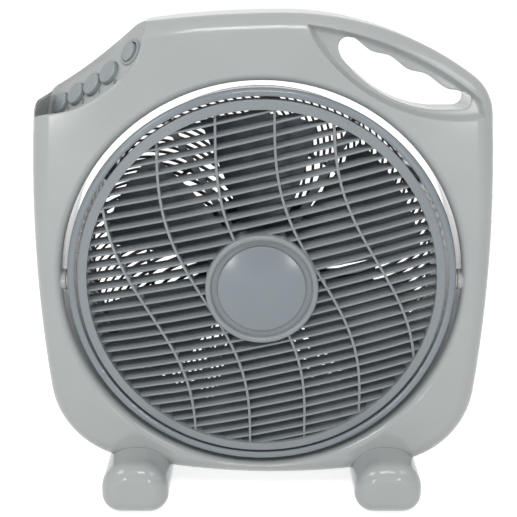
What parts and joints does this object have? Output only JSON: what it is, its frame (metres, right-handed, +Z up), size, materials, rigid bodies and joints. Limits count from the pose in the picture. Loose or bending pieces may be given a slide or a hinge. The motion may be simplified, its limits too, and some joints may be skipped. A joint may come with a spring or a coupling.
{
  "type": "box fan",
  "caption": "Rounded box fan on two feet: a drum with a six-blade fan tilts in the frame behind a turning louvre; push buttons at one corner, carry handle at the other.",
  "frame": {"origin": "floor point midway between the feet, under the middle of the bounding box", "axes": "+Z up, -Y out of the front louvre, +X to the right of someone facing the front"},
  "size_m": [0.4215, 0.184, 0.462],
  "materials": {
    "frame_plastic": "gloss, light grey",
    "button_plastic": "gloss, grey",
    "drum_plastic": "satin gloss, blue grey",
    "spider_plastic": "satin",
    "blade_plastic": "satin, dark blue grey",
    "switch_plastic": "matte black",
    "screw_steel": "zinc plated",
    "pin_steel": "ground",
    "washer_nylon": "natural nylon",
    "motor_casting": "die cast",
    "core_steel": "laminated",
    "copper_wire": "enamelled copper",
    "bearing_bronze": "sintered bronze",
    "pad_rubber": "matte"
  },
  "bodies": {
    "frame": {"front_frame": "frame_plastic", "rear_frame": "frame_plastic", "frame_screws": "screw_steel", "foot_left": "frame_plastic", "foot_right": "frame_plastic", "foot_pads": "pad_rubber", "foot_screws": "screw_steel", "pivot_pin_left": "pin_steel", "pivot_pin_right": "pin_steel", "pivot_washers": "washer_nylon", "pivot_push_nuts": "pin_steel", "push_switch_block": "switch_plastic", "switch_block_screws": "screw_steel", "louvre_switch_body": "button_plastic", "run_capacitor": "switch_plastic", "cord_gland": "switch_plastic"},
    "button_0": {"speed_button_0": "button_plastic"},
    "button_1": {"speed_button_1": "button_plastic"},
    "button_2": {"speed_button_2": "button_plastic"},
    "button_3": {"speed_button_3": "button_plastic"},
    "rocker": {"louvre_switch_rocker": "button_plastic"},
    "drum": {"drum_shell": "drum_plastic", "front_spider": "spider_plastic", "spider_screws": "screw_steel", "louvre_motor": "motor_casting", "louvre_motor_screws": "screw_steel", "motor_front_bracket": "motor_casting", "motor_rear_bracket": "motor_casting", "front_bearing": "bearing_bronze", "rear_bearing": "bearing_bronze", "stator_core": "core_steel", "stator_windings": "copper_wire", "motor_bolts": "screw_steel", "rear_grille": "drum_plastic", "grille_screws": "screw_steel", "rear_motor_cover": "drum_plastic", "cover_screws": "screw_steel"},
    "fan": {"motor_shaft": "pin_steel", "rotor": "core_steel", "impeller": "blade_plastic", "drive_pin": "pin_steel", "impeller_nut": "blade_plastic"},
    "louvre": {"louvre_wheel": "drum_plastic", "hub_cap": "drum_plastic", "louvre_shaft": "pin_steel", "louvre_screw": "screw_steel"}
  },
  "joints": [
    {"name": "drum_tilt", "type": "hinge", "parent": "frame", "child": "drum", "pos_m": [0, -0.036, 0.22], "axis": [1, 0, 0], "range_deg": [-15, 15]},
    {"name": "fan_spin", "type": "hinge", "parent": "drum", "child": "fan", "pos_m": [0, 0, 0.22], "axis": [0, 1, 0], "continuous": true},
    {"name": "louvre_spin", "type": "hinge", "parent": "drum", "child": "louvre", "pos_m": [0, -0.06, 0.22], "axis": [0, 1, 0], "continuous": true},
    {"name": "button_0_press", "type": "slide", "parent": "frame", "child": "button_0", "axis": [0.6816, 0.5513, -0.4811], "range_m": [0, 0.0035]},
    {"name": "button_1_press", "type": "slide", "parent": "frame", "child": "button_1", "axis": [0.6816, 0.5513, -0.4811], "range_m": [0, 0.0035]},
    {"name": "button_2_press", "type": "slide", "parent": "frame", "child": "button_2", "axis": [0.6816, 0.5513, -0.4811], "range_m": [0, 0.0035]},
    {"name": "button_3_press", "type": "slide", "parent": "frame", "child": "button_3", "axis": [0.6816, 0.5513, -0.4811], "range_m": [0, 0.0035]},
    {"name": "rocker_tip", "type": "hinge", "parent": "frame", "child": "rocker", "pos_m": [-0.11322, -0.03492, 0.42727], "axis": [0.018, 0.6447, 0.7642], "range_deg": [0, 14]}
  ]
}
